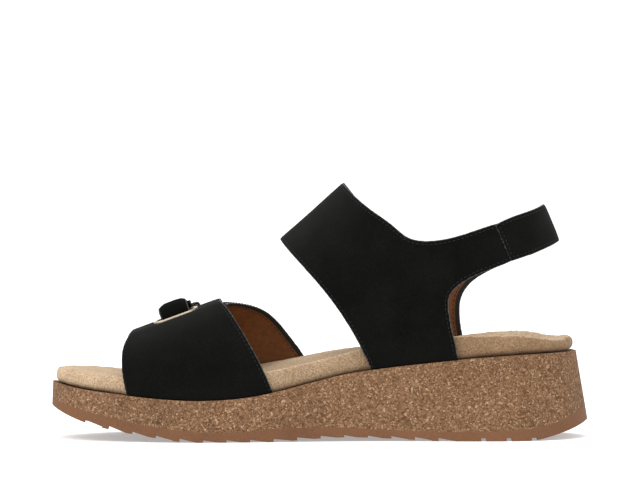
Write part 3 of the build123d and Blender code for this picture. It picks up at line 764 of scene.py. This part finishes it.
def area_light(name, place_at, size, power):
    data = bpy.data.lights.new(name, "AREA")
    data.shape = "RECTANGLE"
    data.size, data.size_y = size
    data.energy = power
    light = bpy.data.objects.new(name, data)
    light.location = place_at
    towards = Vector(LIGHT_AIM) - Vector(place_at)
    light.rotation_euler = towards.to_track_quat("-Z", "Y").to_euler()
    SCENE.collection.objects.link(light)


def make_stage():
    mesh = bpy.data.meshes.new("floor")
    corners = [(x * FLOOR_HALF, y * FLOOR_HALF, 0) for x, y in ((-1, -1), (1, -1), (1, 1), (-1, 1))]
    mesh.from_pydata(corners, [], [(0, 1, 2, 3)])
    floor = bpy.data.objects.new("floor", mesh)
    SCENE.collection.objects.link(floor)
    mesh.materials.append(MATERIALS["floor_white"])
    world = bpy.data.worlds.new("world")
    world.use_nodes = True
    background = world.node_tree.nodes["Background"]
    background.inputs["Color"].default_value = (1.0, 1.0, 1.0, 1.0)
    background.inputs["Strength"].default_value = WORLD_STRENGTH
    SCENE.world = world
    for light in LIGHTS:
        area_light(*light)
    SCENE.view_settings.view_transform = "Standard"


# ---------------------------------------------------------------- the sandal
def hard_parts():
    """CAD nodes that keep their shape and get finished surfaces."""
    finishes = {"outsole": "outsole_rubber", "wedge_midsole": "cork", "slot_frame": "frame_metal",
                "slot_frame_back": "frame_metal"}
    for strap in ("toe", "instep", "heel"):
        finishes[strap + "_hook_patch"] = "hook_tape"
        finishes[strap + "_loop_patch"] = "loop_tape"
    for node, name in finishes.items():
        for slot in frame["nodes"][node].material_slots:
            slot.material = MATERIALS[name]


def read_table(table, x):
    """Value of a table of (x, value) rows at each x."""
    return np.interp(x, [row[0] for row in table], [row[1] for row in table])


def footbed():
    """Suede-covered footbed with a rounded rim, swollen slightly over its foam, with painted shade on
    its upright sides, more towards the heel.
    """
    nodes = ("footbed_cover", "footbed_foam", "footbed_core")
    piece = joined_copy("footbed_suede_cover", nodes)
    remeshed(piece, FOOTBED_VOXEL, FOOTBED_SMOOTH)
    mesh = piece.data
    co = points_of(mesh)
    normals = normals_of(mesh)
    # painted shade: upright faces get the side attribute, growing towards the heel; the material
    # darkens them with it
    wall_shade_mask = np.clip((0.75 - normals[:, 2]) * 2.2, 0, 1)
    to_heel = np.clip(0.5 + co[:, 0] / WALL_SHADE_LENGTH, 0, 1)
    add_attribute(mesh, "side", wall_shade_mask * to_heel)
    upright = np.clip(1.0 - np.abs(normals[:, 2]) * 1.2, 0, 1)
    outward = normals * (1, 1, 0)
    outward /= np.maximum(np.linalg.norm(outward, axis=1), 0.05)[:, None]
    co = co + outward * (upright * read_table(FOOTBED_PUSH, co[:, 0]))[:, None]
    wave = FOOTBED_WAVE * smooth_noise(co, FOOTBED_WAVE_SIZE, 4)
    co = co + normals * wave[:, None]
    height = np.clip((co[:, 2] - np.interp(co[:, 0], WEDGE_X, WEDGE_Z)) / RIM_REACH, 0, 1)
    co[:, 2] += height * read_table(RIM_LIFT, co[:, 0])
    set_points(mesh, co)
    soften(piece, FOOTBED_SMOOTH)
    baked(piece)
    dress(piece, "footbed_suede")
    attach(piece, "root")
    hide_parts(*nodes)


def joint(name):
    """A joint's place and axis direction."""
    found = [j for j in frame["joints"] if j["name"] == name][0]
    return Vector(found["pos_m"]), Vector(found["axis"]).normalized()


def across_fold(fold, bend):
    """Points on either side of a fold, at the given distances from it."""
    return [fold + Vector((0, distance, 0)) for distance in bend]


def slot_middle():
    return sum((Vector(corner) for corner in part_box("slot_frame")), Vector()) / 2


def toe_band():
    slot = slot_middle()

    def sewn_here(point):
        return (Vector(point) - slot).length > SLOT_CLEARANCE and point[1] < slot.y + PANEL_SEAM_END

    panels = (("inner", "medial", 11, sewn_here), ("outer", "lateral", 12, None))
    for name, node, seed, keep in panels:
        outer = "toe_band_" + node + "_outer"
        lining = "toe_band_" + node + "_lining"
        panel = leather("toe_band_" + name + "_panel", (outer,), "black_suede", VOXEL, seed,
                        keep=keep)
        place(panel, "root", "black_suede", (outer,))
        inside = leather("toe_band_" + name + "_lining", (lining,), "lining_leather", VOXEL, seed)
        place(inside, "root", "lining_leather", (lining,))


def toe_strap():
    fold, axis = joint("toe_flap_peel")
    bend = ("toe_flap", *across_fold(fold, TOE_BEND))
    gap = Vector((0, -FOLD_GAP, 0))
    shifts = {"toe_flap_outer": gap, "toe_flap_lining": gap}
    slot = slot_middle()

    def droop(co):
        """Rounds the fold: its two ends, the front one most, hang lower than its middle."""
        along = (co - np.array(slot)) @ np.array(axis)
        level = slot.z + (co[:, 0] - slot.x) * axis.z / axis.x
        ends = np.clip((np.abs(along) - FOLD_FLAT) / (FOLD_HALF - FOLD_FLAT), 0, 1.2) ** 2
        raised = np.clip((co[:, 2] - level) / FOLD_HEIGHT, 0, 1)
        beside = np.clip(1.5 - np.abs(co[:, 1] - fold.y) / FOLD_HEIGHT, 0, 1)
        depth = np.where(along < 0, FOLD_DROOP, FOLD_DROOP_REAR)
        co[:, 2] += (FOLD_LIFT - depth * ends) * raised * beside
        return co

    nodes = ("toe_strap_base", "toe_flap_outer")
    strap = leather("toe_strap", nodes, "black_suede", VOXEL_THIN, 21, smooth=FOLD_SMOOTH,
                    shifts=shifts, skip_border=lambda point: abs(point.y - fold.y) < FOLD_SLACK,
                    keep=lambda point: point[1] > fold.y, soft_edge=FOLD_EDGE, adjust=droop)
    place(strap, "root", "black_suede", nodes, bend)
    lining = leather("toe_strap_lining", ("toe_flap_lining",), "lining_leather", VOXEL_THIN, 21,
                     sew=False, smooth=FOLD_LINING_SMOOTH, shifts=shifts, adjust=droop,
                     binding=FOLD_BINDING)
    place(lining, "root", "lining_leather", ("toe_flap_lining",), bend)


def instep():
    fold, _ = joint("instep_flap_peel")
    bend = ("instep_flap", *across_fold(fold, INSTEP_BEND))
    gap = Vector((0, -FOLD_GAP, 0))

    def in_fold(point):
        return abs(point.y - fold.y) < FOLD_SLACK

    outers = ("quarter_medial_outer", "quarter_medial_padding", "instep_flap_outer")
    upper = leather("instep_upper", outers, "black_suede", VOXEL_PADDED, 31,
                    shifts={"instep_flap_outer": gap}, skip_border=in_fold)
    place(upper, "root", "black_suede", outers, bend)
    linings = ("quarter_medial_lining", "instep_flap_lining")
    lining = leather("instep_lining", linings, "lining_leather", VOXEL, 31,
                     shifts={"instep_flap_lining": gap}, skip_border=in_fold)
    place(lining, "root", "lining_leather", linings, bend)
    outers = ("quarter_lateral_outer", "quarter_lateral_padding")
    lateral = leather("instep_outer_quarter", outers, "black_suede", VOXEL_PADDED, 32)
    place(lateral, "root", "black_suede", outers)
    linings = ("quarter_lateral_lining",)
    lateral_lining = leather("instep_outer_lining", linings, "lining_leather", VOXEL, 32)
    place(lateral_lining, "root", "lining_leather", linings)


def heel_strap():
    seam, axis = joint("heel_strap_open")
    bend = ("heel_strap", *[seam + Vector(offset) for offset in HEEL_BEND])
    outward = Vector(HEEL_OUTWARD).normalized()
    forward = axis.cross(outward)
    move = np.array(forward * HEEL_LAP + outward * HEEL_PROUD)

    def lap(co):
        """Draws the strap's inner end forwards over the quarter."""
        behind = (co - np.array(seam)) @ -np.array(forward)
        share = np.clip(1 - behind / HEEL_LAP_FADE, 0, 1) * (co[:, 1] < 0)
        return co + share[:, None] * move

    outers = ("heel_strap_outer", "heel_strap_padding")
    strap = leather("heel_strap", outers, "black_suede", VOXEL, 41, adjust=lap)
    place(strap, "root", "black_suede", outers, bend)
    linings = ("heel_strap_lining",)
    lining = leather("heel_strap_lining_leather", linings, "lining_leather", VOXEL, 41)
    place(lining, "root", "lining_leather", linings, bend)


make_camera()
make_stage()
hard_parts()
footbed()
toe_band()
toe_strap()
instep()
heel_strap()
